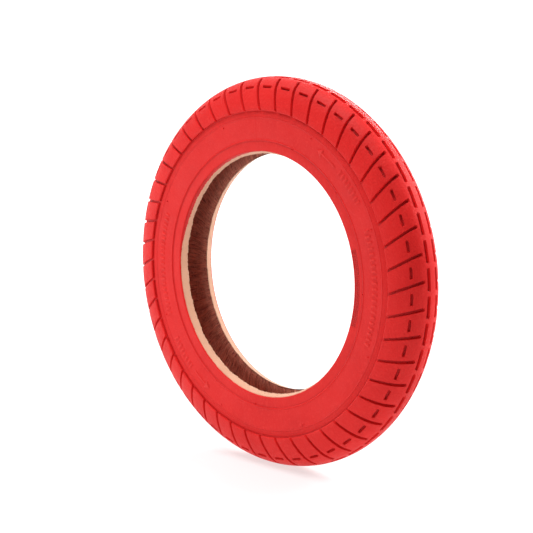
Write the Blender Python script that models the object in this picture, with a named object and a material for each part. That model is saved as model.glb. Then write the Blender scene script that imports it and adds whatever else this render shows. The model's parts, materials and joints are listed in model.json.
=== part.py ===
"""A moulded pneumatic tyre for the wheel of a child's balance bike.

The tyre is laid out around its own axle line: the axle line is Y, +Z is up and
the origin is the centre of the wheel. A point of the tyre is given by its radius
from the axle line, its offset across the tyre, and its angle round the wheel.
"""

import math

import bmesh
import bpy

MM = 0.001

# Driving dimensions of the tyre, in millimetres.
OUTER_RADIUS = 158.5
PITCHES = 48
LAYER_GAP = 0.3

# The outside of the tread: a small crown arc that runs on into a flatter shoulder arc.
CROWN_ARC_RADIUS = 18.2
CROWN_ARC_END = math.radians(62.0)
SHOULDER_ARC_RADIUS = 42.0
TREAD_EDGE_RADIUS = 132.0

# The tread pattern. Angles are round the wheel, stations are lengths along the outside
# of the tread, measured from the middle of the crown.
PITCH = math.radians(360.0 / PITCHES)
FIRST_GROOVE = math.radians(3.78)
GROOVE_HALF_WIDTH = math.radians(0.4)
GROOVE_TIP = 7.9
GROOVE_SWEEP = math.radians(3.9)
GROOVE_SWEEP_POWER = 1.25
GROOVE_DEPTH = 2.1
SLOT_MIDDLE = math.radians(-0.5)
SLOT_HALF_LENGTH = math.radians(3.1)
SLOT_INNER = 3.05
SLOT_OUTER = 5.55
DASH_MIDDLE = math.radians(4.85)
DASH_HALF_LENGTH = math.radians(1.75)
DASH_INNER = 16.9
DASH_OUTER = 18.9
CROWN_STATION = 12.4
SHOULDER_STATION = 27.0

# The casing: two plies that follow a half circle under the tread, run straight down the
# wall and then lean in to the bead.
CASING_CENTRE_RADIUS = 136.3
CASING_OUTER_RADIUS = 17.0
PLY_THICKNESS = 0.5
CASING_STEPS = 6
WALL_RADIUS = 122.0
OUTER_PLY_END = (114.2, 16.4)

# The bead: a sloping base from the toe to the heel, and a flat flank above the heel.
TOE_RADIUS = 97.75
TOE_OFFSET = 11.15
HEEL_RADIUS = 99.9
HEEL_OFFSET = 18.3
FLANK_TOP = 103.6
CHAFER_THICKNESS = 0.5
CHAFER_TOP = 104.5
CHAFER_LEG_OFFSET = 17.3

# The inner ply round the wires: down the cavity side, under the wires and up again.
PLY_LEG_OFFSET = 11.4
PLY_BEND_RADIUS = 104.5
PLY_SHOULDER = (112.5, 14.2)
TURN_UP_OFFSET = 16.05
TURN_UP_TOP = 112.0

# The hoops of wire, stacked in columns that follow the slope of the base.
WIRE_RADIUS = 0.5
WIRE_SPACING = 1.3
WIRE_FIRST_RADIUS = 100.35
WIRE_FIRST_OFFSET = 12.7
WIRE_COLUMNS = 3
WIRE_ROWS = 2
WIRE_SIDES = 5
FILLER_SECTION = [(102.5, 12.3), (103.3, 15.75), (111.5, 15.75), (111.5, 14.65)]

# The outside of the sidewall, from just under the tread edge to the bead flank.
SIDEWALL_OUTSIDE = [(131.6, 19.4), (126.0, 19.6), (118.0, 19.4), (108.5, 18.8)]

# Every turned ring shares these angles, so that nested rings keep their gaps.
RING_PHASE = FIRST_GROOVE + GROOVE_SWEEP - GROOVE_HALF_WIDTH

RED_RUBBER = (0.76, 0.03, 0.03, 1.0)
CHAFER_TAN = (0.78, 0.42, 0.25, 1.0)
PLY_BROWN = (0.22, 0.07, 0.05, 1.0)
FILLER_GREY = (0.12, 0.11, 0.11, 1.0)
WIRE_BRONZE = (0.55, 0.42, 0.28, 1.0)


def clear_scene():
    for item in list(bpy.data.objects):
        bpy.data.objects.remove(item, do_unlink=True)


def finish(name, color, roughness, metallic=0.0):
    material = bpy.data.materials.new(name)
    material.use_nodes = True
    shader = material.node_tree.nodes["Principled BSDF"]
    shader.inputs["Base Color"].default_value = color
    shader.inputs["Roughness"].default_value = roughness
    shader.inputs["Metallic"].default_value = metallic
    return material


def place(radius, offset, angle):
    """A point of the tyre, in metres: angle 0 is straight up and it grows towards +X."""
    return (
        radius * math.sin(angle) * MM,
        offset * MM,
        radius * math.cos(angle) * MM,
    )


def make_object(name, mesh_data, material):
    """Weld the faces into one closed skin, turn them outwards and shade them smooth."""
    bmesh.ops.remove_doubles(mesh_data, verts=mesh_data.verts, dist=1e-7)
    many_sided = [face for face in mesh_data.faces if len(face.verts) > 4]
    bmesh.ops.triangulate(mesh_data, faces=many_sided)
    bmesh.ops.recalc_face_normals(mesh_data, faces=mesh_data.faces)
    mesh = bpy.data.meshes.new(name)
    mesh_data.to_mesh(mesh)
    mesh_data.free()
    mesh.shade_smooth()
    mesh.set_sharp_from_angle(angle=math.radians(35.0))
    mesh.materials.append(material)
    piece = bpy.data.objects.new(name, mesh)
    bpy.context.collection.objects.link(piece)
    return piece


def add_face(mesh_data, points):
    corners = [mesh_data.verts.new(point) for point in points]
    mesh_data.faces.new(corners)


def add_turned_pitch(mesh_data, number, edges):
    """Turn edges between (radius, offset) points through one pitch of the wheel."""
    start = RING_PHASE + number * PITCH
    for (radius_a, offset_a), (radius_b, offset_b) in edges:
        add_face(mesh_data, [
            place(radius_a, offset_a, start),
            place(radius_b, offset_b, start),
            place(radius_b, offset_b, start + PITCH),
            place(radius_a, offset_a, start + PITCH),
        ])


def turned_ring(name, section, material):
    """Turn a closed section of (radius, offset) points all the way round the axle line."""
    mesh_data = bmesh.new()
    for number in range(PITCHES):
        add_turned_pitch(mesh_data, number, zip(section, section[1:] + section[:1]))
    return make_object(name, mesh_data, material)


def mirrored(section, side):
    return [(radius, offset * side) for radius, offset in section]


def tread_outline(station, depth=0.0):
    """Radius and offset on the outside of the tread, or at a depth below it."""
    crown_length = CROWN_ARC_RADIUS * CROWN_ARC_END
    if station <= crown_length:
        turn = station / CROWN_ARC_RADIUS
        centre_radius = OUTER_RADIUS - CROWN_ARC_RADIUS
        centre_offset = 0.0
        arc_radius = CROWN_ARC_RADIUS
    else:
        turn = CROWN_ARC_END + (station - crown_length) / SHOULDER_ARC_RADIUS
        growth = SHOULDER_ARC_RADIUS - CROWN_ARC_RADIUS
        centre_radius = OUTER_RADIUS - CROWN_ARC_RADIUS - growth * math.cos(CROWN_ARC_END)
        centre_offset = -growth * math.sin(CROWN_ARC_END)
        arc_radius = SHOULDER_ARC_RADIUS
    reach = arc_radius - depth
    return centre_radius + reach * math.cos(turn), centre_offset + reach * math.sin(turn)


def tread_edge_station():
    """The station where the shoulder arc comes down to the edge of the tread."""
    growth = SHOULDER_ARC_RADIUS - CROWN_ARC_RADIUS
    centre_radius = OUTER_RADIUS - CROWN_ARC_RADIUS - growth * math.cos(CROWN_ARC_END)
    turn = math.acos((TREAD_EDGE_RADIUS - centre_radius) / SHOULDER_ARC_RADIUS)
    return CROWN_ARC_RADIUS * CROWN_ARC_END + (turn - CROWN_ARC_END) * SHOULDER_ARC_RADIUS


def casing_arc(radius):
    """Half circle of the casing, from the left side over the crown to the right side."""
    points = []
    for step in range(CASING_STEPS + 1):
        turn = math.pi * (step / CASING_STEPS - 0.5)
        points.append((CASING_CENTRE_RADIUS + radius * math.cos(turn), radius * math.sin(turn)))
    return points


def base_radius(offset, height=0.0):
    """Radius of the sloping bead base at an offset, raised by a height."""
    slope = (HEEL_RADIUS - TOE_RADIUS) / (HEEL_OFFSET - TOE_OFFSET)
    return TOE_RADIUS + slope * (offset - TOE_OFFSET) + height


class TreadPitch:
    """One pitch of the pattern on one side of the crown."""

    def __init__(self, mesh_data, side, number):
        self.mesh_data = mesh_data
        self.side = side
        self.groove = FIRST_GROOVE + number * PITCH

    def point(self, station, angle, depth=0.0):
        radius, offset = tread_outline(station, depth)
        return place(radius, offset * self.side, angle)

    def sweep(self, station):
        reach = max(0.0, station - GROOVE_TIP) / (tread_edge_station() - GROOVE_TIP)
        return GROOVE_SWEEP * reach ** GROOVE_SWEEP_POWER

    def groove_edges(self, station):
        middle = self.groove + self.sweep(station)
        return middle - GROOVE_HALF_WIDTH, middle + GROOVE_HALF_WIDTH

    def slot_ends(self):
        middle = self.groove + SLOT_MIDDLE
        return middle - SLOT_HALF_LENGTH, middle + SLOT_HALF_LENGTH

    def dash_ends(self):
        middle = self.groove + DASH_MIDDLE
        return middle - DASH_HALF_LENGTH, middle + DASH_HALF_LENGTH

    def crown_angles(self):
        """Corners of one pitch where the slots are: a slot, then a bridge of rubber."""
        first, last = self.slot_ends()
        return [first, last, first + PITCH]

    def tip_angles(self):
        """Corners of one pitch where the grooves start: a groove tip, then the land."""
        first, last = self.groove_edges(GROOVE_TIP)
        return [first, last, first + PITCH]

    def land_angles(self, station):
        """Corners between this groove and the next one, at a station."""
        first = self.groove_edges(station)[1]
        last = self.groove_edges(station)[0] + PITCH
        if station in (DASH_INNER, DASH_OUTER):
            return [first, *self.dash_ends(), last]
        return [first, last]

    def strip(self, low, high, low_angles, high_angles):
        points = [self.point(low, angle) for angle in low_angles]
        points += [self.point(high, angle) for angle in reversed(high_angles)]
        add_face(self.mesh_data, points)

    def add_crown(self):
        """The smooth middle rib, the row of slots beside it, and the run to the groove tips."""
        angles = self.crown_angles()
        for first, last in zip(angles, angles[1:]):
            self.strip(0.0, SLOT_INNER, [first, last], [first, last])
        self.strip(SLOT_INNER, SLOT_OUTER, angles[1:], angles[1:])
        self.add_pocket([(SLOT_INNER, angles[0]), (SLOT_INNER, angles[1]),
                         (SLOT_OUTER, angles[1]), (SLOT_OUTER, angles[0])])
        self.strip(SLOT_OUTER, GROOVE_TIP, angles, self.tip_angles())

    def add_land(self, low, high):
        low_angles = self.land_angles(low)
        high_angles = self.land_angles(high)
        if (low, high) != (DASH_INNER, DASH_OUTER):
            self.strip(low, high, low_angles, high_angles)
            return
        self.strip(low, high, low_angles[:2], high_angles[:2])
        self.strip(low, high, low_angles[2:], high_angles[2:])
        self.add_pocket([(low, low_angles[1]), (low, low_angles[2]),
                         (high, high_angles[2]), (high, high_angles[1])])

    def add_pocket(self, rim):
        """A pocket with four walls and a floor, below four corners of the surface."""
        floor = [self.point(station, angle, GROOVE_DEPTH) for station, angle in rim]
        top = [self.point(station, angle) for station, angle in rim]
        add_face(self.mesh_data, floor)
        for here in range(4):
            there = (here + 1) % 4
            add_face(self.mesh_data, [top[here], top[there], floor[there], floor[here]])

    def add_groove(self, low, high):
        low_edges = self.groove_edges(low)
        high_edges = self.groove_edges(high)
        floor = [self.point(low, low_edges[0], GROOVE_DEPTH),
                 self.point(low, low_edges[1], GROOVE_DEPTH),
                 self.point(high, high_edges[1], GROOVE_DEPTH),
                 self.point(high, high_edges[0], GROOVE_DEPTH)]
        add_face(self.mesh_data, floor)
        add_face(self.mesh_data, [self.point(low, low_edges[0]), floor[0],
                                  floor[3], self.point(high, high_edges[0])])
        add_face(self.mesh_data, [self.point(low, low_edges[1]), floor[1],
                                  floor[2], self.point(high, high_edges[1])])
        if low == GROOVE_TIP:
            add_face(self.mesh_data, [self.point(low, low_edges[0]),
                                      self.point(low, low_edges[1]), floor[1], floor[0]])

    def add_edge(self, station, inner_layer):
        """The face at the bottom of the shoulder, where the groove runs out."""
        left, right = self.groove_edges(station)
        ring_angle = self.groove - FIRST_GROOVE + RING_PHASE
        add_face(self.mesh_data, [
            self.point(station, left),
            self.point(station, left, GROOVE_DEPTH),
            self.point(station, right, GROOVE_DEPTH),
            self.point(station, right),
            self.point(station, left + PITCH),
            place(TREAD_EDGE_RADIUS, inner_layer * self.side, ring_angle + PITCH),
            place(TREAD_EDGE_RADIUS, inner_layer * self.side, ring_angle),
        ])


def make_tread(material):
    edge = tread_edge_station()
    stations = [GROOVE_TIP, CROWN_STATION, DASH_INNER, DASH_OUTER, SHOULDER_STATION, edge]
    inner_layer = CASING_OUTER_RADIUS + LAYER_GAP
    inner = [(TREAD_EDGE_RADIUS, -inner_layer)]
    inner += casing_arc(inner_layer)
    inner += [(TREAD_EDGE_RADIUS, inner_layer)]
    mesh_data = bmesh.new()
    for number in range(PITCHES):
        for side in (-1, 1):
            pitch = TreadPitch(mesh_data, side, number)
            pitch.add_crown()
            for low, high in zip(stations, stations[1:]):
                pitch.add_land(low, high)
                pitch.add_groove(low, high)
            pitch.add_edge(edge, inner_layer)
        add_turned_pitch(mesh_data, number, zip(inner, inner[1:]))
    return make_object("tread", mesh_data, material)


def make_sidewall(name, side, material):
    """The outer skin of one side, from under the tread edge down to the heel of the bead."""
    inner_layer = CASING_OUTER_RADIUS + LAYER_GAP
    top_radius = SIDEWALL_OUTSIDE[0][0]
    chafer_side = CHAFER_LEG_OFFSET + LAYER_GAP
    turn_up_side = TURN_UP_OFFSET + PLY_THICKNESS + LAYER_GAP
    section = SIDEWALL_OUTSIDE + [
        (FLANK_TOP, HEEL_OFFSET),
        (HEEL_RADIUS, HEEL_OFFSET),
        (base_radius(chafer_side), chafer_side),
        (CHAFER_TOP + LAYER_GAP, chafer_side),
        (TURN_UP_TOP + LAYER_GAP, turn_up_side),
        (WALL_RADIUS, inner_layer),
        (top_radius, inner_layer),
    ]
    return turned_ring(name, mirrored(section, side), material)


def make_outer_ply(material):
    """The outer ply floats: it ends on each side just above the bead filler."""
    outside = CASING_OUTER_RADIUS
    inside = outside - PLY_THICKNESS
    end_radius, end_offset = OUTER_PLY_END
    outer_leg = [(WALL_RADIUS, outside), (end_radius, end_offset)]
    inner_leg = [(end_radius, end_offset - PLY_THICKNESS), (WALL_RADIUS, inside)]
    section = mirrored(outer_leg[::-1], -1)
    section += casing_arc(outside)
    section += outer_leg + inner_leg
    section += casing_arc(inside)[::-1]
    section += mirrored(inner_leg[::-1], -1)
    return turned_ring("ply_outer", section, material)


def make_inner_ply(material):
    """The inner ply lines the tyre, passes under the wires and turns up outside them."""
    outside = CASING_OUTER_RADIUS - PLY_THICKNESS - LAYER_GAP
    inside = outside - PLY_THICKNESS
    shoulder_radius, shoulder_offset = PLY_SHOULDER
    wire_side = PLY_LEG_OFFSET + PLY_THICKNESS
    turn_up_outer = TURN_UP_OFFSET + PLY_THICKNESS
    under_height = CHAFER_THICKNESS + LAYER_GAP
    over_height = under_height + PLY_THICKNESS
    wire_leg = [
        (WALL_RADIUS, outside),
        (shoulder_radius, shoulder_offset + PLY_THICKNESS),
        (PLY_BEND_RADIUS, wire_side),
        (base_radius(wire_side, over_height), wire_side),
        (base_radius(TURN_UP_OFFSET, over_height), TURN_UP_OFFSET),
        (TURN_UP_TOP, TURN_UP_OFFSET),
    ]
    cavity_leg = [
        (TURN_UP_TOP, turn_up_outer),
        (base_radius(turn_up_outer, under_height), turn_up_outer),
        (base_radius(PLY_LEG_OFFSET, under_height), PLY_LEG_OFFSET),
        (PLY_BEND_RADIUS, PLY_LEG_OFFSET),
        (shoulder_radius, shoulder_offset),
        (WALL_RADIUS, inside),
    ]
    section = mirrored(wire_leg[::-1], -1)
    section += casing_arc(outside)
    section += wire_leg + cavity_leg
    section += casing_arc(inside)[::-1]
    section += mirrored(cavity_leg[::-1], -1)
    return turned_ring("ply_inner", section, material)


def make_chafer(name, side, material):
    """The canvas strip that takes the rub of the rim: base of the bead and a hidden leg."""
    leg_inner = CHAFER_LEG_OFFSET - CHAFER_THICKNESS
    section = [
        (TOE_RADIUS, TOE_OFFSET),
        (base_radius(CHAFER_LEG_OFFSET), CHAFER_LEG_OFFSET),
        (CHAFER_TOP, CHAFER_LEG_OFFSET),
        (CHAFER_TOP, leg_inner),
        (base_radius(leg_inner, CHAFER_THICKNESS), leg_inner),
        (base_radius(TOE_OFFSET, CHAFER_THICKNESS), TOE_OFFSET),
    ]
    return turned_ring(name, mirrored(section, side), material)


def make_filler(name, side, material):
    """The hard rubber wedge that fairs the wires into the wall."""
    return turned_ring(name, mirrored(FILLER_SECTION, side), material)


def make_bead_wires(side_name, side, material):
    """Hoops of steel wire, stacked in columns that follow the slope of the bead base."""
    number = 0
    for column in range(WIRE_COLUMNS):
        middle_offset = WIRE_FIRST_OFFSET + column * WIRE_SPACING
        rise = base_radius(middle_offset) - base_radius(WIRE_FIRST_OFFSET)
        for row in range(WIRE_ROWS):
            number += 1
            middle_radius = WIRE_FIRST_RADIUS + rise + row * WIRE_SPACING
            section = []
            for corner in range(WIRE_SIDES):
                turn = 2.0 * math.pi * corner / WIRE_SIDES
                section.append((middle_radius + WIRE_RADIUS * math.cos(turn),
                                middle_offset + WIRE_RADIUS * math.sin(turn)))
            turned_ring(f"bead_wire_{side_name}_{number}", mirrored(section, side), material)


def main():
    clear_scene()
    red_rubber = finish("red_rubber", RED_RUBBER, 0.55)
    wall_rubber = finish("wall_rubber", RED_RUBBER, 0.5)
    outer_cord = finish("outer_cord_fabric", PLY_BROWN, 0.8)
    inner_cord = finish("inner_cord_fabric", PLY_BROWN, 0.7)
    canvas = finish("chafer_canvas", CHAFER_TAN, 0.85)
    filler_rubber = finish("filler_rubber", FILLER_GREY, 0.7)
    bead_steel = finish("bead_steel", WIRE_BRONZE, 0.35, metallic=1.0)

    make_tread(red_rubber)
    make_outer_ply(outer_cord)
    make_inner_ply(inner_cord)
    for side_name, side in (("left", -1), ("right", 1)):
        make_sidewall(f"sidewall_{side_name}", side, wall_rubber)
        make_chafer(f"chafer_{side_name}", side, canvas)
        make_filler(f"bead_filler_{side_name}", side, filler_rubber)
        make_bead_wires(side_name, side, bead_steel)


main()
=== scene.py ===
# %% [markdown]
# # A red tyre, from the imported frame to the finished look
#
# A bare pneumatic tyre is rubber, cloth and wire cured into one ring. The frame holds
# it as separate turned bodies: the tread, two sidewalls, two plies, the canvas strips
# at the beads, and the hidden wedges and hoops of wire. Every body stays where it is.
# The bodies that can be seen get a finer mesh with the moulded detail, and all of them
# get a finish made from shader nodes.

import json
import math

import bpy
import numpy as np
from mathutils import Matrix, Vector

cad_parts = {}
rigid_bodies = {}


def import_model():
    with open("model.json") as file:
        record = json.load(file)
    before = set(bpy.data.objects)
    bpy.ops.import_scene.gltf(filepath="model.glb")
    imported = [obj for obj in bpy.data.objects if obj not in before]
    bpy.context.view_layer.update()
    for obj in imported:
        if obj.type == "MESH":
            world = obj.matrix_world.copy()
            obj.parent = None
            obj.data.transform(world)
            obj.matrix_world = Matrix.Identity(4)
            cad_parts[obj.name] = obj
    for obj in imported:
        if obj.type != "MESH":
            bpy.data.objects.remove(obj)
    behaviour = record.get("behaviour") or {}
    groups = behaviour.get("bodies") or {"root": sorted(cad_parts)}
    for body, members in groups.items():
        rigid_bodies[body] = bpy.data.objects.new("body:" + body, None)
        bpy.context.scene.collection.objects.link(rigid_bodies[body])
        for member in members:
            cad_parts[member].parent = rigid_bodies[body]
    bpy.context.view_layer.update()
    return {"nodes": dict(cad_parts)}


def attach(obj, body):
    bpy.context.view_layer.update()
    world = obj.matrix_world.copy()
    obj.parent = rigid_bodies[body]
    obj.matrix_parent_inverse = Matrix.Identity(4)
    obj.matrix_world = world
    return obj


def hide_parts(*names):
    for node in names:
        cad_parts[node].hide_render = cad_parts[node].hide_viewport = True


for leftover in list(bpy.data.objects):
    bpy.data.objects.remove(leftover, do_unlink=True)

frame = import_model()
nodes = frame["nodes"]

# %% [markdown]
# ## Points on a tyre
#
# Everything on a tyre goes round its axle line, so it is easiest to say where a point
# is by three numbers: its radius from the axle, its offset across the tyre, and its
# angle round the wheel. Angle 0 is straight up and it grows towards +X. Numpy turns
# whole grids of such points into vertices at once, in metres.
#
# A tyre with no rim in it doesn't keep a perfect circle at its beads. They draw in a
# little and go slightly oval, and the wall follows them for some way. One function bends
# a radius for that, and every visible layer near the bead uses it, so that they stay
# together. The bodies of the frame keep their true circles.

# %% Turn radius, offset and angle into points
MM = 0.001


def around(radius, offset, angle_deg):
    """Points from radii and offsets in millimetres and angles in degrees."""
    angle = np.radians(angle_deg)
    radius, offset, angle = np.broadcast_arrays(radius, offset, angle)
    return np.stack([radius * np.sin(angle), offset, radius * np.cos(angle)], -1) * MM


DRAWN_IN, OVAL = 0.4, 1.7
BEAD_ZONE = (105.0, 125.0)
TOP_OF_CROWN = 158.5


def bare_bead(radius, angle_deg):
    """Radius of a point near a bead that has no rim in it: drawn in, and a little oval."""
    low, high = BEAD_ZONE
    share = np.clip((high - radius) / (high - low), 0.0, 1.0)
    sway = np.sin(np.radians(angle_deg)) ** 2
    return radius - (DRAWN_IN + OVAL * sway) * share ** 2


top_of_tyre = around(TOP_OF_CROWN, 0.0, 0.0)
print("the top of the crown is at", top_of_tyre)

# %% [markdown]
# ## Rings of quads
#
# Each visible body is a closed section carried round the wheel: a grid of points that
# wraps round in both directions. One helper makes the quads of such a grid, keeps the
# outside of the skin facing out, and stores a pair of map coordinates in millimetres:
# the way round the wheel and the way along the section. The weave and the cords of the
# cloth are drawn with those, so they bend with the tyre.

# %% Make a ring from a wrapped grid
UP_TO_SHARP = math.radians(48.0)


def wrapped_quads(rows, columns):
    """Corner numbers of a grid of rows by columns that wraps round both ways."""
    row, column = np.meshgrid(np.arange(rows), np.arange(columns), indexing="ij")
    next_row, next_column = (row + 1) % rows, (column + 1) % columns
    return np.stack([row * columns + column, row * columns + next_column,
                     next_row * columns + next_column, next_row * columns + column],
                    -1).reshape(-1, 4)


def ring_mesh(name, points, way_round, way_along, sharp=False):
    """A closed skin from a grid of points (rows, columns, 3), with map coordinates."""
    rows, columns = points.shape[:2]
    quads = wrapped_quads(rows, columns)
    flat = points.reshape(-1, 3)
    corner = flat[quads]
    volume = np.einsum("ij,ij->i", corner[:, 0],
                       np.cross(corner[:, 1], corner[:, 2])).sum()
    if volume < 0.0:
        quads = quads[:, ::-1]
    mesh = bpy.data.meshes.new(name)
    mesh.vertices.add(len(flat))
    mesh.vertices.foreach_set("co", flat.ravel())
    mesh.loops.add(quads.size)
    mesh.loops.foreach_set("vertex_index", quads.ravel())
    mesh.polygons.add(len(quads))
    mesh.polygons.foreach_set("loop_start", np.arange(len(quads)) * 4)
    mesh.update(calc_edges=True)
    mesh.validate()
    mesh.shade_smooth()
    if sharp:
        mesh.set_sharp_from_angle(angle=UP_TO_SHARP)
    layer = mesh.attributes.new("way", "FLOAT_VECTOR", "POINT")
    way = np.zeros((rows, columns, 3))
    way[..., 0], way[..., 1] = np.broadcast_arrays(way_round, way_along)
    layer.data.foreach_set("vector", way.ravel())
    piece = bpy.data.objects.new(name, mesh)
    bpy.context.collection.objects.link(piece)
    print(f"{name}: {rows} x {columns} points")
    return piece


def stand_for(piece, node, material):
    """The piece takes the place of a body of the frame, with its finish."""
    piece.data.materials.append(material)
    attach(piece, "root")
    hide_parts(node)
    return piece


# %% [markdown]
# ## Node helpers
#
# The finishes are written as short chains of shader nodes. Small helpers keep them
# readable. Four make one node each: any kind of node with its inputs, arithmetic, a blend
# of two colours, and noise. Three more are built on them: a stretch of a value to a new
# range, a wave of stripes, and a bump that adds up several heights.

# %% Helpers for shader nodes


def start_finish(name, roughness, specular, **fixed):
    """A new material with one Principled shader, and its constants set on the sockets."""
    material = bpy.data.materials.new(name)
    material.use_nodes = True
    shader = material.node_tree.nodes["Principled BSDF"]
    shader.inputs["Roughness"].default_value = roughness
    shader.inputs["Specular IOR Level"].default_value = specular
    for socket, value in fixed.items():
        shader.inputs[socket.replace("_", " ")].default_value = value
    return material, material.node_tree, shader


def add_node(tree, kind, **inputs):
    """A node of a kind; each input is a number, a colour or another node's socket."""
    node = tree.nodes.new(kind)
    for name, value in inputs.items():
        socket = node.inputs[name.replace("_", " ")]
        if isinstance(value, bpy.types.NodeSocket):
            tree.links.new(value, socket)
        else:
            socket.default_value = value
    return node


def math_node(tree, operation, first, second=0.0):
    node = tree.nodes.new("ShaderNodeMath")
    node.operation = operation
    for socket, value in zip(node.inputs, (first, second)):
        if isinstance(value, bpy.types.NodeSocket):
            tree.links.new(value, socket)
        else:
            socket.default_value = value
    return node.outputs[0]


def blend_colours(tree, amount, first, second):
    node = tree.nodes.new("ShaderNodeMix")
    node.data_type = "RGBA"
    for socket, value in ((node.inputs[0], amount), (node.inputs[6], first),
                          (node.inputs[7], second)):
        if isinstance(value, bpy.types.NodeSocket):
            tree.links.new(value, socket)
        else:
            socket.default_value = value
    return node.outputs[2]


def stored(tree, name):
    """A value that the mesh stores at its points."""
    node = tree.nodes.new("ShaderNodeAttribute")
    node.attribute_name = name
    return node


def map_place(tree):
    """The two map coordinates of a ring, in millimetres: round the wheel, and along."""
    parts = add_node(tree, "ShaderNodeSeparateXYZ",
                     Vector=stored(tree, "way").outputs["Vector"])
    return parts.outputs["X"], parts.outputs["Y"]


def noise(tree, place, scale, detail=3.0, roughness=0.5):
    return add_node(tree, "ShaderNodeTexNoise", Vector=place, Scale=scale,
                    Detail=detail, Roughness=roughness).outputs["Fac"]


def ramp(tree, value, low, high, to_low=0.0, to_high=1.0):
    """Stretch the part of a value between low and high to a new range."""
    node = tree.nodes.new("ShaderNodeMapRange")
    tree.links.new(value, node.inputs["Value"])
    for name, number in (("From Min", low), ("From Max", high),
                         ("To Min", to_low), ("To Max", to_high)):
        node.inputs[name].default_value = number
    return node.outputs["Result"]


def stripes(tree, value, per_mm):
    """A smooth wave from 0 to 1 along a coordinate in millimetres."""
    wave = math_node(tree, "SINE", math_node(tree, "MULTIPLY", value,
                                             2.0 * math.pi * per_mm))
    return ramp(tree, wave, -1.0, 1.0)


def bump(tree, shader, heights):
    """Join heights in millimetres into one bump on the shader."""
    total = heights[0]
    for height in heights[1:]:
        total = math_node(tree, "ADD", total, height)
    node = add_node(tree, "ShaderNodeBump", Strength=1.0, Distance=MM, Height=total)
    tree.links.new(node.outputs["Normal"], shader.inputs["Normal"])


# %% [markdown]
# ## Red rubber
#
# Coloured tyre rubber comes out of the mould with an even, slightly waxy skin. It isn't
# one flat red: the pigment clouds a little and pale specks of bloom lie at random. Painted
# light is laid into the colour too: a painted highlight on the raised marks, and painted
# shade on the floors of the cuts, in the recessed rings of the walls and in the knurl pits.
# The skin has a fine grain from the sand-blasted mould and a broad, weak waviness from the
# cure. Object coordinates are in metres here, so a scale of 400 gives detail of about 2.5
# mm.
#
# Where a cut, a raised mark or the knurled patch lies is stored on the mesh as a share
# from 0 to 1, and the finish reads it to place that painted shade and highlight. The dots
# of the knurl are too fine for the mesh, so they are drawn here as painted shade and
# pressed in with bump.

# %% The red rubber finish
RED = (0.79, 0.016, 0.014, 1.0)
DEEP_RED = (0.72, 0.012, 0.011, 1.0)
BLOOM_RED = (0.84, 0.035, 0.028, 1.0)
# Painted light: the next red is painted shade for the cut floors, the recessed rings and the
# knurl pits, and the one after it is a painted highlight on the raised marks.
PAINTED_SHADE_RED = (0.46, 0.006, 0.008, 1.0)
MARK_HIGHLIGHT_RED = (0.88, 0.06, 0.05, 1.0)
KNURL_PER_MM = 0.6
KNURL_SHADE_TINT, MARK_HIGHLIGHT_TINT = 0.55, 0.35


def red_rubber(name, grain):
    material, tree, shader = start_finish(name, 0.5, 0.19, Sheen_Weight=0.03,
                                          Sheen_Roughness=0.5)
    place = add_node(tree, "ShaderNodeTexCoord").outputs["Object"]
    clouds = ramp(tree, noise(tree, place, 34.0, 4.0), 0.3, 0.7)
    colour = blend_colours(tree, clouds, DEEP_RED, RED)
    colour = blend_colours(tree, math_node(tree, "MULTIPLY", clouds, 0.65), colour, RED)
    specks = ramp(tree, noise(tree, place, 420.0, 2.0), 0.52, 0.72, 0.0, 0.35)
    colour = blend_colours(tree, specks, colour, BLOOM_RED)
    # Painted shade where a cut share is stored: the floors of the tread cuts and the
    # recessed rings of the walls.
    colour = blend_colours(tree, stored(tree, "cut").outputs["Fac"], colour, PAINTED_SHADE_RED)
    way_round, way_along = map_place(tree)
    # The knurl dots are painted shade in the colour, and pits in the bump.
    dots = math_node(tree, "MAXIMUM", stripes(tree, way_round, KNURL_PER_MM),
                     stripes(tree, way_along, KNURL_PER_MM))
    dots = math_node(tree, "MULTIPLY", stored(tree, "knurl").outputs["Fac"],
                     ramp(tree, dots, 0.4, 1.0))
    colour = blend_colours(tree, math_node(tree, "MULTIPLY", dots, KNURL_SHADE_TINT), colour,
                           PAINTED_SHADE_RED)
    # A painted highlight on the raised marks, in the colour.
    mark = math_node(tree, "MULTIPLY", stored(tree, "mark").outputs["Fac"], MARK_HIGHLIGHT_TINT)
    colour = blend_colours(tree, mark, colour, MARK_HIGHLIGHT_RED)
    tree.links.new(colour, shader.inputs["Base Color"])
    patches = ramp(tree, noise(tree, place, 75.0, 5.0, 0.6), 0.3, 0.7, 0.5, 0.6)
    tree.links.new(patches, shader.inputs["Roughness"])
    sand = ramp(tree, noise(tree, place, 1500.0, 2.0), 0.2, 0.8, 0.0, 0.09 * grain)
    pores = ramp(tree, noise(tree, place, 620.0, 3.0), 0.3, 0.7, 0.0, 0.14 * grain)
    waves = ramp(tree, noise(tree, place, 60.0, 2.0), 0.2, 0.8, 0.0, 0.25)
    pits = math_node(tree, "MULTIPLY", dots, -0.5)
    bump(tree, shader, [sand, pores, waves, pits])
    print("made the finish", name)
    return material


tread_rubber = red_rubber("tread_red_rubber", 1.0)
wall_rubber = red_rubber("sidewall_red_rubber", 0.7)

# %% [markdown]
# ## The tread
#
# The outside of the tread is two arcs: a tight one over the crown and a flatter one down
# the shoulder. The pattern repeats 48 times. Each half of the crown has a row of long
# slots, then curved cross grooves that start at a round tip and run out at the edge of
# the tread, with a short dash between two grooves. A cut could be made with booleans,
# but 300 of them are slow and leave ragged meshes. Here the pattern is a depth, measured
# everywhere on a grid whose lines fall just beside the edges of the cuts, and the grid
# leans with the grooves. The walls of a cut slope a little, as a mould has to come out.

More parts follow.
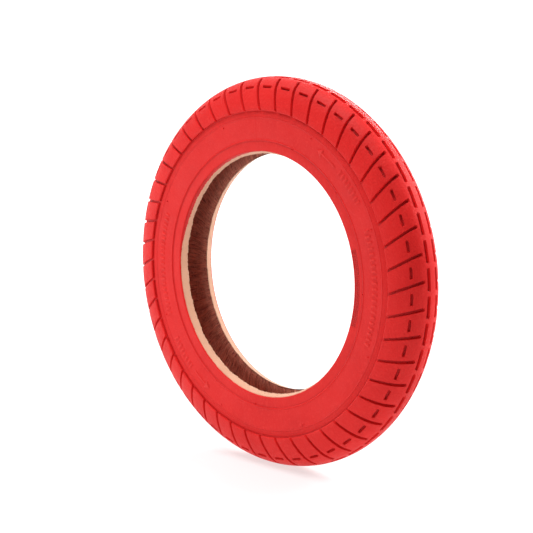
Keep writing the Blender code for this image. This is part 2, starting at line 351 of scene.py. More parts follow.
# %% The outside of the tread
CROWN_RADIUS = 158.48
CROWN_ARC, CROWN_TURN, SHOULDER_ARC = 18.2, math.radians(62.0), 42.0
EDGE_RADIUS = 132.0
CROWN_LENGTH = CROWN_ARC * CROWN_TURN
ARC_GROWTH = SHOULDER_ARC - CROWN_ARC
SHOULDER_CENTRE = CROWN_RADIUS - CROWN_ARC - ARC_GROWTH * math.cos(CROWN_TURN)
EDGE_TURN = math.acos((EDGE_RADIUS - SHOULDER_CENTRE) / SHOULDER_ARC)
EDGE_STATION = CROWN_LENGTH + (EDGE_TURN - CROWN_TURN) * SHOULDER_ARC


def tread_outline(station, depth):
    """Radius and offset at a length from the middle of the crown, under the surface."""
    reach = np.abs(station)
    on_crown = reach <= CROWN_LENGTH
    turn = np.where(on_crown, reach / CROWN_ARC,
                    CROWN_TURN + (reach - CROWN_LENGTH) / SHOULDER_ARC)
    arc = np.where(on_crown, CROWN_ARC, SHOULDER_ARC) - depth
    centre = np.where(on_crown, CROWN_RADIUS - CROWN_ARC, SHOULDER_CENTRE)
    across = np.where(on_crown, 0.0, -ARC_GROWTH * math.sin(CROWN_TURN))
    offset = across + arc * np.sin(turn)
    return centre + arc * np.cos(turn), offset * np.sign(station)


print(f"half the tread is {EDGE_STATION:.1f} mm from the crown to its edge")

# %% The depth of the pattern
PITCHES = 48
PITCH = 360.0 / PITCHES
FIRST_GROOVE = 3.78
GROOVE_HALF, GROOVE_TIP = 1.2, 7.9
GROOVE_SWEEP, SWEEP_POWER = 3.9, 1.25
SLOT_MIDDLE, SLOT_HALF_LENGTH, SLOT_ROW, SLOT_HALF = -0.5, 3.1, 4.3, 1.2
DASH_MIDDLE, DASH_HALF_LENGTH, DASH_ROW, DASH_HALF = 4.85, 1.75, 17.9, 0.98
GROOVE_DEPTH, SLOT_DEPTH, DASH_DEPTH = 2.6, 2.2, 2.3
GROOVE_TAPER = 0.7
WALL_WIDTH = 0.6
CROWN_MM_PER_DEGREE = CROWN_RADIUS * math.pi / 180.0
TREAD_MAP_SCALE = 2.7


def groove_sweep(station):
    reach = np.clip(np.abs(station) - GROOVE_TIP, 0.0, None)
    return GROOVE_SWEEP * (reach / (EDGE_STATION - GROOVE_TIP)) ** SWEEP_POWER


def cut(distance, depth):
    """Depth from the distance outside the outline of a cut, with a steep wall."""
    return depth * np.clip(0.5 - distance / WALL_WIDTH, 0.0, 1.0)


def rounded_slot(along, across, half_length, half_width):
    over = np.clip(np.abs(along) - (half_length - half_width), 0.0, None)
    return np.hypot(over, across) - half_width


def pattern_depth(lean, station):
    """Depth at an angle from a groove that leans with it, and at a station."""
    radius = tread_outline(station, 0.0)[0]
    reach = np.abs(station)
    per_degree = radius * math.pi / 180.0
    from_tip = np.clip(GROOVE_TIP + GROOVE_HALF - reach, 0.0, None)
    beside = np.minimum(np.abs(lean), np.abs(lean - PITCH)) * CROWN_MM_PER_DEGREE
    run = np.clip((reach - GROOVE_TIP) / (EDGE_STATION - GROOVE_TIP), 0.0, 1.0)
    depth = cut(np.hypot(beside, from_tip) - GROOVE_HALF,
                GROOVE_DEPTH - GROOVE_TAPER * run)
    angle = lean + groove_sweep(station)
    for turn in (0.0, PITCH):
        slot = rounded_slot((angle - SLOT_MIDDLE - turn) * per_degree, reach - SLOT_ROW,
                            SLOT_HALF_LENGTH * per_degree, SLOT_HALF)
        dash = rounded_slot((angle - DASH_MIDDLE - turn + PITCH) * per_degree,
                            reach - DASH_ROW, DASH_HALF_LENGTH * per_degree, DASH_HALF)
        depth = np.maximum(depth, cut(slot, SLOT_DEPTH))
        depth = np.maximum(depth, cut(dash, DASH_DEPTH))
    dash = rounded_slot((angle - DASH_MIDDLE) * per_degree, reach - DASH_ROW,
                        DASH_HALF_LENGTH * per_degree, DASH_HALF)
    return np.maximum(depth, cut(dash, DASH_DEPTH))


# %% The grid of the tread
LEANS = np.array([-0.54, -0.43, -0.33, 0.0, 0.33, 0.43, 0.54, 1.2, 1.98, 2.09, 2.2, 2.35,
                  2.49, 2.6, 2.71, 3.79, 3.9, 4.01, 4.2, 5.22, 5.42, 5.59, 5.7, 6.3])
HALF_STATIONS = np.array([1.4, 2.8, 3.1, 3.4, 4.3, 5.2, 5.5, 5.8, 6.8, 7.6, 7.9, 8.2, 8.6,
                          9.8, 11.8, 14.4, 16.62, 16.92, 17.22, 17.9, 18.58, 18.88, 19.18,
                          21.0, 23.4, 26.0, 28.6, 31.2, 33.6, 35.2, 36.3])
EDGE_ROUNDING = [(0.0, 0.0), (0.35, 0.1), (0.7, 0.35), (0.95, 0.8)]
EDGE_FOOT = 18.9
CUT_SHADE_TINT = 0.75
INNER_LAYER, CASING_CENTRE = 17.3, 136.3
INNER_TURNS = np.linspace(90.0, -90.0, 7)
UNDER_EDGE = EDGE_RADIUS + 0.3

edge_stations = [EDGE_STATION - EDGE_ROUNDING[-1][0] + back for back, drop in EDGE_ROUNDING]
edge_drops = [drop for back, drop in EDGE_ROUNDING]
half_stations = np.concatenate([HALF_STATIONS, edge_stations])
half_drops = np.concatenate([np.zeros(len(HALF_STATIONS)), edge_drops])
stations = np.concatenate([-half_stations[::-1], [0.0], half_stations])[:, None]
drops = np.concatenate([half_drops[::-1], [0.0], half_drops])[:, None]
pitch_numbers = np.repeat(np.arange(PITCHES), len(LEANS))
leans = np.tile(LEANS, PITCHES)[None, :]
tread_angles = FIRST_GROOVE + pitch_numbers * PITCH + leans + groove_sweep(stations)
depths = pattern_depth(leans, stations)
radii, offsets = tread_outline(stations, np.maximum(depths, 0.0) + drops)
outside = around(radii, offsets, tread_angles)

edge_angles = tread_angles[-1]
turns = np.radians(INNER_TURNS)[:, None]
inner_radii = np.concatenate([[[UNDER_EDGE], [UNDER_EDGE]],
                              CASING_CENTRE + INNER_LAYER * np.cos(turns),
                              [[UNDER_EDGE], [UNDER_EDGE]]])
inner_offsets = np.concatenate([[[EDGE_FOOT], [INNER_LAYER]],
                                INNER_LAYER * np.sin(turns),
                                [[-INNER_LAYER], [-EDGE_FOOT]]])
inside = around(inner_radii, inner_offsets, edge_angles)

tread_rows = len(outside) + len(inside)
tread = ring_mesh("tread_moulding", np.concatenate([outside, inside]),
                  edge_angles[None, :] * TREAD_MAP_SCALE,
                  np.arange(tread_rows)[:, None], sharp=True)
# Painted shade for the finish: the floors of the cuts take the share, and the walls of the
# cuts stay plain red.
cut_shade_layer = tread.data.attributes.new("cut", "FLOAT", "POINT")
cut_shade_share = np.concatenate([depths / SLOT_DEPTH, np.zeros(inside.shape[:2])])
cut_shade_share = np.clip(2.0 * cut_shade_share - 1.0, 0.0, 1.0) * CUT_SHADE_TINT
cut_shade_layer.data.foreach_set("value", cut_shade_share.ravel())
stand_for(tread, "tread", tread_rubber)
print("faces of the tread:", len(tread.data.polygons))

# %% [markdown]
# ## The sidewalls
#
# A sidewall is almost flat, and what makes it look like a tyre is thin relief: a soft
# step under the tread, a band of fine rings, a smooth panel with a raised line at each
# side, a shallow step down to the bead, small vent pips, and moulded marks. A turned
# profile gives the rings and the steps. The marks and a mould seam are added to the same
# grid as a height, so the wall stays one skin; the pips are pieces of their own. The marks
# are plain bars and an arrow for the way the wheel turns: they carry no words. Near the
# rim one patch is knurled.

# %% The profile of the wall
PROFILE_RADII = [99.9, 103.6, 104.8, 107.2, 107.9, 108.7, 113.0, 118.0, 124.0, 126.0,
                 128.0, 130.0, 131.2, 131.8, 132.25]
PROFILE_OFFSETS = [18.6, 18.6, 18.6, 18.5, 18.5, 19.05, 19.3, 19.45, 19.55, 19.5,
                   19.25, 18.9, 18.65, 18.7, 18.9]
FINE_RINGS = (126.9, 130.6)
FINE_RING_HEIGHT = 0.11
RING_LINES = ((126.3, 0.35, 0.3), (124.6, 0.2, 0.3), (108.9, 0.4, 0.35))


def wall_profile(radius):
    """Offset of the outside of the wall, with its rings."""
    offset = np.interp(radius, PROFILE_RADII, PROFILE_OFFSETS)
    low, high = FINE_RINGS
    inside_band = np.clip((radius - low) / 0.3, 0, 1) * np.clip((high - radius) / 0.3, 0, 1)
    wave = 1.0 - np.cos(2 * math.pi * (radius - low))
    offset = offset + FINE_RING_HEIGHT * inside_band * wave
    for middle, height, width in RING_LINES:
        offset = offset + height * np.exp(-((radius - middle) / width) ** 2)
    return offset


# %% The relief of the wall
MARK_HEIGHT = 0.8
ARROW = (31.0, 41.0, 119.6)
ARROW_HALF_WIDTH, ARROW_MM_PER_DEGREE = 0.55, 2.09
ARROW_HEAD_LENGTH, ARROW_HEAD_SLOPE = 4.6, 0.62
BAR_ROWS = [(43.0, 58.0, 1.9, 118.2, 122.8), (67.0, 111.0, 2.1, 117.2, 121.2)]
BAR_HALF_WIDTH, FAR_OUTSIDE = 0.7, 9.0
KNURL_PATCH = (73.0, 107.0, 100.9, 105.6)
RECESSES = ((107.9, 0.5, 0.8), (131.3, 0.6, 0.9), (125.6, 0.35, 0.6), (127.0, 0.3, 0.5),
            (128.9, 0.3, 0.35))
MOULD_SEAM, SEAM_HEIGHT, SEAM_WIDTH = -3.0, 0.16, 0.45


def ring_shade(radius):
    """Share of painted shade in the recesses that run round the wall."""
    return sum(share * np.exp(-((radius - middle) / width) ** 2)
               for middle, width, share in RECESSES)


def soft_box(distance, width=0.5):
    return np.clip(0.5 - distance / width, 0.0, 1.0)


def box_distance(along, across, half_long, half_wide):
    return np.maximum(np.abs(along) - half_long, np.abs(across) - half_wide)


def mark_share(radius, angle):
    """Share of the arrow and the bars at a radius and an angle. The other half repeats."""
    turned = angle % 180.0
    per_degree = radius * math.pi / 180.0
    start, end, middle = ARROW
    shaft = box_distance((turned - (start + end) / 2) * per_degree, radius - middle,
                         (end - start) / 2 * ARROW_MM_PER_DEGREE, ARROW_HALF_WIDTH)
    tip = (turned - start) * per_degree
    head = np.maximum(np.abs(radius - middle) - (tip + 0.5) * ARROW_HEAD_SLOPE,
                      tip - ARROW_HEAD_LENGTH)
    share = soft_box(np.minimum(shaft, head))
    for start, end, step, low, high in BAR_ROWS:
        in_step = (turned - start) % step - step / 2
        bar = box_distance(in_step * per_degree, radius - (low + high) / 2,
                           BAR_HALF_WIDTH, (high - low) / 2)
        bar = np.where((turned > start) & (turned < end), bar, FAR_OUTSIDE)
        share = np.maximum(share, soft_box(bar))
    return share


def knurl_share(radius, angle):
    """Share of the knurled patch near the rim, with soft borders."""
    start, end, low, high = KNURL_PATCH
    return (np.clip((angle - start) / 0.5, 0, 1) * np.clip((end - angle) / 0.5, 0, 1)
            * np.clip((radius - low) / 0.4, 0, 1) * np.clip((high - radius) / 0.4, 0, 1))


def wall_relief(radius, angle):
    """Height of the marks, and of the seam that the two halves of the mould leave."""
    from_seam = (np.abs((angle - MOULD_SEAM + 180.0) % 360.0 - 180.0)
                 * radius * math.pi / 180.0)
    on_panel = (radius > 108.0) & (radius < 131.0)
    seam = SEAM_HEIGHT * np.exp(-(from_seam / SEAM_WIDTH) ** 2) * on_panel
    return MARK_HEIGHT * mark_share(radius, angle) + seam


# %% Turn the two walls
WALL_COLUMNS, WALL_MAP_SCALE = 1200, 2.0
# Share of painted shade laid into the recessed rings of the wall.
RING_SHADE_TINT = 0.5
WALL_RADII = np.concatenate([
    [132.25, 131.9, 131.6], np.arange(131.3, 126.0, -0.25), np.arange(125.8, 123.1, -0.8),
    np.arange(123.0, 116.6, -0.42), np.arange(116.0, 109.8, -1.5),
    np.arange(109.5, 107.5, -0.2), [107.0, 106.2, 105.7, 105.3, 104.9, 104.4, 103.6, 102.4,
                                    101.6, 101.1, 100.7]])
HEEL = [(100.5, 18.52), (100.2, 18.35), (100.02, 18.0), (99.9, 17.62)]
WALL_BACK = [(102.5, 17.62), (104.8, 17.62), (112.3, 16.87), (122.0, 17.3), (131.9, 17.3)]
wall_angles = np.arange(WALL_COLUMNS) * 360.0 / WALL_COLUMNS


def sidewall(name, side):
    radii = WALL_RADII[:, None]
    front = wall_profile(radii) + wall_relief(radii, wall_angles[None, :])
    rest = HEEL + WALL_BACK
    rest_radii = np.array([radius for radius, offset in rest])[:, None]
    rest_offsets = np.array([offset for radius, offset in rest])[:, None]
    all_radii = np.concatenate([radii, rest_radii])
    all_offsets = np.concatenate([front, np.broadcast_to(rest_offsets,
                                                         (len(rest), WALL_COLUMNS))])
    points = around(bare_bead(all_radii, wall_angles[None, :]), all_offsets * side,
                    wall_angles[None, :])
    skin = ring_mesh(name, points, wall_angles[None, :] * WALL_MAP_SCALE, all_radii)
    # The stored shares place painted light in the finish: a painted highlight on the marks,
    # and painted shade in the recessed rings and the knurl pits.
    shares = {"mark": mark_share(radii, wall_angles[None, :]),
              "cut": ring_shade(radii) * RING_SHADE_TINT,
              "knurl": knurl_share(radii, wall_angles[None, :])}
    for layer_name, on_front in shares.items():
        share = np.zeros(points.shape[:2])
        share[:len(radii)] = on_front
        layer = skin.data.attributes.new(layer_name, "FLOAT", "POINT")
        layer.data.foreach_set("value", share.ravel())
    return skin


walls = {}
for node, side in (("sidewall_left", -1), ("sidewall_right", 1)):
    walls[node] = stand_for(sidewall(node + "_skin", side), node,
                            wall_rubber)
print("each wall has", len(walls["sidewall_left"].data.polygons), "faces")

# %% [markdown]
# ### Vent pips
#
# Air leaves the mould through small holes, and rubber follows it a little way. The
# trimmed stubs stay on the wall as pips about a millimetre across. Each is a short
# turned stub with a rounded end, sunk a little into the wall.

# %% Vent pips
PIP_ANGLES = [26.0, 68.0, 114.0, 158.0, -20.0, -65.0, -112.0, -158.0]
LOW_PIP_ANGLES = [18.0, 48.0, 92.0, 184.0]
PIP_RADIUS, LOW_PIP_RADIUS = 123.7, 107.6
PIP_PROFILE = [(0.62, -0.3), (0.55, 0.15), (0.5, 0.75), (0.36, 0.95), (0.0, 1.02)]
PIP_SIDES = 12


def pip_points(middle_radius, angle_deg, side):
    """Rings of points of one pip, from its foot in the wall to its rounded end."""
    foot = float(wall_profile(np.array(middle_radius)))
    rings = []
    for reach, height in PIP_PROFILE[:-1]:
        turn = np.radians(np.arange(PIP_SIDES) * 360.0 / PIP_SIDES)
        rings.append(around(bare_bead(middle_radius, angle_deg) + reach * np.cos(turn),
                            (foot + height) * side,
                            angle_deg + np.degrees(reach * np.sin(turn) / middle_radius)))
    end = around(bare_bead(middle_radius, angle_deg), (foot + PIP_PROFILE[-1][1]) * side,
                 angle_deg)
    return rings, end


def add_pips(node, side):
    vertices, faces = [], []
    places = [(PIP_RADIUS, angle) for angle in PIP_ANGLES]
    places += [(LOW_PIP_RADIUS, angle) for angle in LOW_PIP_ANGLES]
    for middle_radius, angle in places:
        rings, end = pip_points(middle_radius, angle, side)
        first = len(vertices)
        for ring in rings:
            vertices.extend(map(tuple, ring))
        vertices.append(tuple(end))
        faces.append([first + corner for corner in range(PIP_SIDES)][::side])
        for level in range(len(rings) - 1):
            for corner in range(PIP_SIDES):
                low = first + level * PIP_SIDES
                following = (corner + 1) % PIP_SIDES
                faces.append([low + corner, low + PIP_SIDES + corner,
                              low + PIP_SIDES + following, low + following][::side])
        top = first + (len(rings) - 1) * PIP_SIDES
        for corner in range(PIP_SIDES):
            faces.append([top + corner, len(vertices) - 1,
                          top + (corner + 1) % PIP_SIDES][::side])
    mesh = bpy.data.meshes.new(f"vent_pips_{node}")
    mesh.from_pydata(vertices, [], faces)
    mesh.shade_smooth()
    mesh.materials.append(wall_rubber)
    pips = bpy.data.objects.new(f"vent_pips_{node}", mesh)
    bpy.context.collection.objects.link(pips)
    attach(pips, "root")
    return pips


for node, side in (("sidewall_left", -1), ("sidewall_right", 1)):
    add_pips(node, side)
print("pips on each wall:", len(PIP_ANGLES) + len(LOW_PIP_ANGLES))

# %% [markdown]
# ## Tan canvas at the beads
#
# A strip of rubberised canvas is folded over each bead, where the rim would rub the
# rubber through. It is cut from a roll, so its edge at the toe is never true: it wanders
# by half a millimetre with small snags where threads pulled. The wander is a sum of a
# few sine waves with fixed phases, so every run gives the same edge. The weave is two
# crossed sets of thin waves in the map coordinates, used for colour and for bump. At one
# place of the near bead, red rubber has flowed over the canvas in the mould. It is a film,
# so it is a change of colour with a ragged border.

# %% The canvas finish
TAN = (0.76, 0.38, 0.235, 1.0)
TAN_THREAD = (0.87, 0.52, 0.35, 1.0)
TAN_DIRT = (0.58, 0.25, 0.14, 1.0)
THREADS_PER_MM = 1.5
TOE_RADIUS, TOE_OFFSET, HEEL_RADIUS, HEEL_OFFSET = 97.75, 11.15, 99.9, 18.3
FLOW_MIDDLE = math.radians(318.0)
FLOW_START, FLOW_FULL, FLOW_FAR, FLOW_NEAR = 0.72, 0.93, 7.0, 3.9


def canvas_finish():
    material, tree, shader = start_finish("bead_canvas", 0.8, 0.25, Sheen_Weight=0.2,
                                          Sheen_Roughness=0.5)
    way_round, way_along = map_place(tree)
    place = add_node(tree, "ShaderNodeTexCoord").outputs["Object"]
    first = math_node(tree, "ADD", way_round, way_along)
    second = math_node(tree, "SUBTRACT", way_round, way_along)
    warp = stripes(tree, first, THREADS_PER_MM)
    weft = stripes(tree, second, THREADS_PER_MM)
    weave = math_node(tree, "MAXIMUM", warp, weft)
    patches = ramp(tree, noise(tree, place, 90.0, 5.0, 0.6), 0.35, 0.7)
    colour = blend_colours(tree, math_node(tree, "MULTIPLY", weave, 0.5), TAN, TAN_THREAD)
    colour = blend_colours(tree, math_node(tree, "MULTIPLY", patches, 0.22), colour,
                           TAN_DIRT)
    specks = ramp(tree, noise(tree, place, 900.0, 2.0), 0.62, 0.72, 0.0, 0.4)
    colour = blend_colours(tree, specks, colour, TAN_DIRT)
    turn = math_node(tree, "DIVIDE", way_round, TOE_RADIUS)
    from_flow = math_node(tree, "SUBTRACT", turn, FLOW_MIDDLE)
    flow = ramp(tree, math_node(tree, "COSINE", from_flow), FLOW_START, FLOW_FULL,
                FLOW_FAR, FLOW_NEAR)
    ragged = math_node(tree, "ADD", flow, ramp(tree, noise(tree, place, 260.0), 0.3, 0.7,
                                               -0.5, 0.5))
    covered = ramp(tree, math_node(tree, "SUBTRACT", way_along, ragged), -0.2, 0.2)
    across = add_node(tree, "ShaderNodeSeparateXYZ", Vector=place).outputs["Y"]
    covered = math_node(tree, "MULTIPLY", covered,
                        math_node(tree, "LESS_THAN", across, 0.0))
    colour = blend_colours(tree, covered, colour, DEEP_RED)
    tree.links.new(colour, shader.inputs["Base Color"])
    tree.links.new(ramp(tree, patches, 0.0, 1.0, 0.72, 0.88), shader.inputs["Roughness"])
    fuzz = ramp(tree, noise(tree, place, 1300.0, 2.0), 0.2, 0.8, 0.0, 0.12)
    bump(tree, shader, [math_node(tree, "MULTIPLY", weave, 0.16), fuzz])
    return material


bead_canvas = canvas_finish()
print("made the finish", bead_canvas.name)

# %% The canvas strips
LEG_OUTER, LEG_INNER, CANVAS_THICKNESS = 17.3, 16.8, 0.5
SLOPE = (HEEL_RADIUS - TOE_RADIUS) / (HEEL_OFFSET - TOE_OFFSET)
EDGE_WAVES = [(7, 0.14, 0.4), (16, 0.17, 2.1), (29, 0.15, 5.2), (53, 0.16, 1.3),
              (97, 0.16, 3.7), (171, 0.18, 0.9), (263, 0.14, 4.9)]
strip_angles = np.arange(1440) * 0.25


def edge_wander(angles, shift):
    """How far the cut edge strays, in millimetres, as a sum of waves round the wheel."""
    total = np.zeros_like(angles)
    for waves, height, phase in EDGE_WAVES:
        total = total + height * np.sin(np.radians(angles) * waves + phase + shift)
    return total


def base_radius(offset, height=0.0):
    return TOE_RADIUS + SLOPE * (offset - TOE_OFFSET) + height


def canvas_strip(name, side):
    wander = edge_wander(strip_angles, side * 1.7)
    toe = TOE_OFFSET + 0.15 + wander
    lump = 0.05 * edge_wander(strip_angles, 2.9)
    offsets, radii = [], []
    for share in (0.0, 0.06, 0.2, 0.4, 0.6, 0.8, 1.0):
        offset = toe + (LEG_OUTER - toe) * share
        offsets.append(offset)
        radii.append(base_radius(offset) + 0.05 + lump)
    for offset, radius in ((LEG_OUTER, 104.5), (LEG_INNER, 104.5),
                           (LEG_INNER, base_radius(LEG_INNER, CANVAS_THICKNESS))):
        offsets.append(np.full_like(toe, offset))
        radii.append(np.full_like(toe, radius))
    for share in (0.7, 0.35, 0.06, 0.0):
        offset = toe + (LEG_INNER - toe) * share
        offsets.append(offset)
        radii.append(base_radius(offset, CANVAS_THICKNESS) + lump)
    offsets, radii = np.array(offsets), np.array(radii)
    way_along = np.cumsum(np.hypot(np.diff(offsets[:, :1], axis=0, prepend=offsets[:1, :1]),
                                   np.diff(radii[:, :1], axis=0, prepend=radii[:1, :1])),
                          axis=0)
    points = around(bare_bead(radii, strip_angles[None, :]), offsets * side,
                    strip_angles[None, :])
    return ring_mesh(name, points, strip_angles[None, :] * TOE_RADIUS * math.pi / 180.0,
                     way_along, sharp=True)


for node, side in (("chafer_left", -1), ("chafer_right", 1)):
    stand_for(canvas_strip(node + "_strip", side), node, bead_canvas)

# %% [markdown]
# ## Brown cloth inside
#
# The inside of the tyre is the inner ply, cord cloth soaked in brown rubber. In the mould
# a rubber bag presses it outwards, and leaves soft creases across the tyre with a speckle
# of dusting powder. The creases are real shape: noise along the way round, stretched
# across the tyre. Their hollows also get painted shade in the colour. The cords show as
# fine slanted lines in the bump and the colour.

# %% The cord cloth finish
BROWN = (0.72, 0.235, 0.16, 1.0)
CREASE_SHADE_BROWN = (0.27, 0.062, 0.042, 1.0)
DUST_BROWN = (0.66, 0.28, 0.19, 1.0)
CORDS_PER_MM, CORD_SLANT, CREASE_STRETCH = 0.8, 0.8, 0.12


def cord_cloth(name):
    material, tree, shader = start_finish(name, 0.72, 0.3)
    way_round, way_along = map_place(tree)
    place = add_node(tree, "ShaderNodeTexCoord").outputs["Object"]
    slanted = math_node(tree, "ADD", way_round,
                        math_node(tree, "MULTIPLY", way_along, CORD_SLANT))
    cords = stripes(tree, slanted, CORDS_PER_MM)
    stretched = add_node(tree, "ShaderNodeCombineXYZ", X=way_round,
                         Y=math_node(tree, "MULTIPLY", way_along, CREASE_STRETCH))
    creases = noise(tree, stretched.outputs["Vector"], 0.28, 4.0, 0.6)
    fine = noise(tree, stretched.outputs["Vector"], 0.9, 2.0)
    folds = math_node(tree, "ADD", math_node(tree, "MULTIPLY", creases, 0.5),
                      math_node(tree, "MULTIPLY", fine, 0.5))
    # Painted shade in the hollows of the creases: where the folds are low, the colour turns
    # dark brown.
    colour = blend_colours(tree, ramp(tree, folds, 0.38, 0.6), CREASE_SHADE_BROWN, BROWN)
    speck = ramp(tree, noise(tree, place, 620.0, 3.0, 0.6), 0.48, 0.66, 0.0, 0.7)
    colour = blend_colours(tree, speck, colour, DUST_BROWN)
    colour = blend_colours(tree, math_node(tree, "MULTIPLY", cords, 0.12), colour,
                           DUST_BROWN)
    tree.links.new(colour, shader.inputs["Base Color"])
    tree.links.new(ramp(tree, creases, 0.3, 0.7, 0.62, 0.82), shader.inputs["Roughness"])
    bump(tree, shader, [math_node(tree, "MULTIPLY", cords, 0.12),
                        math_node(tree, "MULTIPLY", folds, 1.8),
                        math_node(tree, "MULTIPLY", speck, 0.15)])
    return material


inner_cloth = cord_cloth("inner_cord_cloth")
outer_cloth = cord_cloth("outer_cord_cloth")
print("made the cord cloth finishes")

# %% The inner ply
LINER_LAYER, LINER_BACK, LINER_MAP_SCALE = 15.7, 16.2, 2.0
LEG = [(122.0, 15.7), (117.0, 15.1), (112.5, 14.2), (108.5, 12.85), (104.5, 11.4),
       (101.5, 11.4), (99.0, 11.4), (98.7, 11.55)]
BACK_LEG = [(98.95, 11.9), (100.5, 11.9), (104.5, 11.9), (112.5, 14.7), (122.0, 16.2)]
LINER_COLUMNS, FADE_LENGTH = 960, 6.0
liner_angles = np.arange(LINER_COLUMNS) * 360.0 / LINER_COLUMNS
CREASES = [(41, 0.11, 0.0), (67, 0.12, 1.1), (88, 0.08, 2.7), (131, 0.07, 4.4)]


def crease_height(angles, tilt):
    """Soft creases across the tyre. The tilt slants them a little along the section."""
    total = np.zeros(np.broadcast(angles, tilt).shape)
    for waves, height, phase in CREASES:
        total = total + height * np.sin(np.radians(angles) * waves + phase + tilt * waves
                                        * 0.0012)
    return total


arc_turns = np.radians(np.linspace(90.0, -90.0, 15))
section = [(radius, -offset) for radius, offset in LEG[::-1]]
section += [(CASING_CENTRE + LINER_LAYER * math.cos(turn), LINER_LAYER * math.sin(-turn))
            for turn in arc_turns]
section += LEG
cavity = np.array(section)
back = list(BACK_LEG)
back += [(CASING_CENTRE + LINER_BACK * math.cos(turn), LINER_BACK * math.sin(turn))
         for turn in arc_turns[::2]]
back += [(radius, -offset) for radius, offset in BACK_LEG[::-1]]
way_along = np.concatenate([[0.0], np.cumsum(np.hypot(*np.diff(cavity, axis=0).T))])
creased = crease_height(liner_angles[None, :], way_along[:, None])
fade = (np.clip(way_along / FADE_LENGTH, 0.0, 1.0)
        * np.clip((way_along[-1] - way_along) / FADE_LENGTH, 0, 1))
cavity_radii = cavity[:, :1] - creased * fade[:, None] * 0.6
cavity_offsets = cavity[:, 1:] - np.sign(cavity[:, 1:]) * creased * fade[:, None] * 0.8
back = np.array(back)
liner_radii = np.concatenate([cavity_radii, np.broadcast_to(back[:, :1],
                                                            (len(back), LINER_COLUMNS))])
liner_offsets = np.concatenate([cavity_offsets, np.broadcast_to(back[:, 1:],
                                                                (len(back), LINER_COLUMNS))])
way_all = np.concatenate([way_along, np.full(len(back), way_along[-1])])[:, None]
liner = ring_mesh("inner_ply_liner", around(bare_bead(liner_radii, liner_angles[None, :]),
                                            liner_offsets, liner_angles[None, :]),
                  liner_angles[None, :] * LINER_MAP_SCALE, way_all)
stand_for(liner, "ply_inner", inner_cloth)

# %% [markdown]
# ## The parts inside the bead
#
# The outer ply, the hard rubber wedges and the hoops of wire are closed in by the other
# layers. They keep their bodies from the frame and get finishes of their own: the same
# cord cloth, a dark mottled rubber, and drawn steel wire with a bronze wash that helps
# rubber grip it.

# %% Finishes of the hidden parts
FILLER_DARK, FILLER_PALE = (0.018, 0.016, 0.016, 1.0), (0.05, 0.045, 0.043, 1.0)
STEEL_BRONZE, STEEL_BRIGHT = (0.50, 0.33, 0.17, 1.0), (0.72, 0.55, 0.34, 1.0)


def filler_finish():
    material, tree, shader = start_finish("bead_filler_rubber", 0.6, 0.4)
    place = add_node(tree, "ShaderNodeTexCoord").outputs["Object"]
    mottle = ramp(tree, noise(tree, place, 260.0, 5.0), 0.3, 0.7)
    colour = blend_colours(tree, mottle, FILLER_DARK, FILLER_PALE)
    tree.links.new(colour, shader.inputs["Base Color"])
    bump(tree, shader, [math_node(tree, "MULTIPLY", mottle, 0.2)])
    return material


def wire_finish():
    material, tree, shader = start_finish("bronzed_steel_wire", 0.3, 0.5, Metallic=1.0)
    place = add_node(tree, "ShaderNodeTexCoord").outputs["Object"]
    stretched = add_node(tree, "ShaderNodeMapping", Vector=place)
    stretched.inputs["Scale"].default_value = (1.0, 9.0, 1.0)
    drawn = ramp(tree, noise(tree, stretched.outputs["Vector"], 240.0, 4.0), 0.3, 0.7)
    colour = blend_colours(tree, drawn, STEEL_BRONZE, STEEL_BRIGHT)
    tree.links.new(colour, shader.inputs["Base Color"])
    tree.links.new(ramp(tree, drawn, 0.0, 1.0, 0.24, 0.42), shader.inputs["Roughness"])
    return material


hidden_finishes = {"ply_outer": outer_cloth, "bead_filler": filler_finish(),
                   "bead_wire": wire_finish()}
for name, body in nodes.items():
    for start, finish in hidden_finishes.items():
        if name.startswith(start):
            body.data.materials.clear()
            body.data.materials.append(finish)
print("finished the hidden parts")

# %% [markdown]
# ## Floor, light and camera
#
# The tyre stands on a white studio sweep: a floor that curves up into a wall far behind.
# The paper glows a little, and more towards the back, so that it stays white behind the
# tyre. Four soft lamps light it. The key lamp hangs above and a little in front. A weak
# fill lamp at the front left opens the wall of the tyre. Two lamps from behind, one at
# each side, brighten the crown. A faint surround keeps the shadows open. The light is set
# for one view: from behind, the crown is too bright and the end of the sweep shows.

# %% The studio sweep
FLOOR_HEIGHT = -158.7
SWEEP_HALF_WIDTH, SWEEP_FRONT, SWEEP_BACK, SWEEP_BEND = 3.2, -2.4, 2.6, 0.8
SWEEP_HEIGHT, BEND_STEPS = 3.2, 12
FLOOR_GREY = (0.38, 0.38, 0.38, 1.0)
FLOOR_GLOW, BACKDROP_GLOW, GLOW_FROM, GLOW_TO = 0.64, 1.1, 0.3, 1.6
VIEW_TURN = math.radians(43.92)


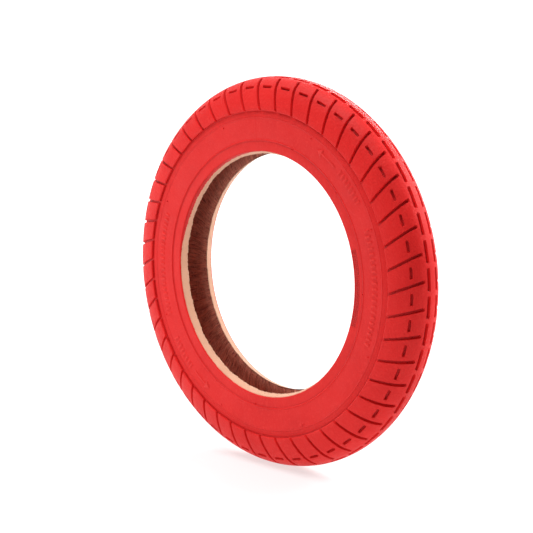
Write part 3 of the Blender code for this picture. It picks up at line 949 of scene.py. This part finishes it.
def studio_sweep():
    profile = [(SWEEP_FRONT, 0.0), (0.0, 0.0), (SWEEP_BACK - SWEEP_BEND, 0.0)]
    for step in range(1, BEND_STEPS + 1):
        turn = math.radians(90.0 * step / BEND_STEPS)
        profile.append((SWEEP_BACK - SWEEP_BEND + SWEEP_BEND * math.sin(turn),
                        SWEEP_BEND - SWEEP_BEND * math.cos(turn)))
    profile.append((SWEEP_BACK, SWEEP_HEIGHT))
    vertices, faces = [], []
    for back, height in profile:
        for across in (-SWEEP_HALF_WIDTH, SWEEP_HALF_WIDTH):
            vertices.append((across, back, height + FLOOR_HEIGHT * MM))
    for step in range(len(profile) - 1):
        first = step * 2
        faces.append((first, first + 1, first + 3, first + 2))
    mesh = bpy.data.meshes.new("studio_sweep")
    mesh.from_pydata(vertices, [], faces)
    mesh.shade_smooth()
    material, tree, shader = start_finish("white_paper", 0.9, 0.1)
    shader.inputs["Base Color"].default_value = FLOOR_GREY
    shader.inputs["Emission Color"].default_value = (1.0, 1.0, 1.0, 1.0)
    place = add_node(tree, "ShaderNodeTexCoord").outputs["Object"]
    back = add_node(tree, "ShaderNodeSeparateXYZ", Vector=place).outputs["Y"]
    tree.links.new(ramp(tree, back, GLOW_FROM, GLOW_TO, FLOOR_GLOW, BACKDROP_GLOW),
                   shader.inputs["Emission Strength"])
    mesh.materials.append(material)
    sweep = bpy.data.objects.new("studio_sweep", mesh)
    bpy.context.collection.objects.link(sweep)
    sweep.rotation_euler[2] = VIEW_TURN
    return sweep


studio_sweep()

# %% Lamps and surround


def soft_lamp(name, place, aim, size, power):
    light = bpy.data.lights.new(name, "AREA")
    light.shape = "RECTANGLE"
    light.size, light.size_y = size
    light.energy = power
    lamp = bpy.data.objects.new(name, light)
    lamp.location = place
    lamp.rotation_euler = (Vector(aim) - Vector(place)).to_track_quat("-Z", "Y").to_euler()
    bpy.context.collection.objects.link(lamp)
    return lamp


soft_lamp("key_lamp", (-0.12, -0.36, 1.3), (0.0, 0.0, 0.0), (0.9, 0.9), 17.0)
soft_lamp("fill_lamp", (-0.45, -0.46, 0.0), (-0.05, 0.0, -0.03), (0.4, 0.25), 1.15)
soft_lamp("rim_lamp", (0.66, 0.74, 0.66), (0.0, 0.0, 0.1), (0.6, 0.6), 14.0)
soft_lamp("back_lamp", (-0.35, 0.95, 0.72), (0.0, 0.0, 0.1), (0.8, 0.3), 9.0)
world = bpy.data.worlds.new("surround")
bpy.context.scene.world = world
world.use_nodes = True
world.node_tree.nodes["Background"].inputs["Color"].default_value = (1.0, 1.0, 1.0, 1.0)
world.node_tree.nodes["Background"].inputs["Strength"].default_value = 0.12
bpy.context.scene.view_settings.view_transform = "Standard"
bpy.context.scene.view_settings.look = "None"

# %% The camera
AZIMUTH, ELEVATION, DISTANCE = VIEW_TURN, math.radians(8.439), 1.1076
AIM_RIGHT, AIM_UP = -0.00905, 0.0051
back_to_camera = Vector((math.cos(ELEVATION) * math.sin(AZIMUTH),
                         -math.cos(ELEVATION) * math.cos(AZIMUTH), math.sin(ELEVATION)))
right_hand = Vector((math.cos(AZIMUTH), math.sin(AZIMUTH), 0.0))
upwards = back_to_camera.cross(right_hand)
aim = right_hand * AIM_RIGHT + upwards * AIM_UP
camera_data = bpy.data.cameras.new("camera")
camera_data.lens, camera_data.sensor_width = 91.99, 36.0
camera_data.clip_start, camera_data.clip_end = 0.05, 20.0
camera = bpy.data.objects.new("camera", camera_data)
camera.location = back_to_camera * DISTANCE
camera.rotation_mode = "QUATERNION"
camera.rotation_quaternion = (aim - camera.location).to_track_quat("-Z", "Y")
bpy.context.collection.objects.link(camera)
bpy.context.scene.camera = camera
print("the camera stands at", camera.location[:])
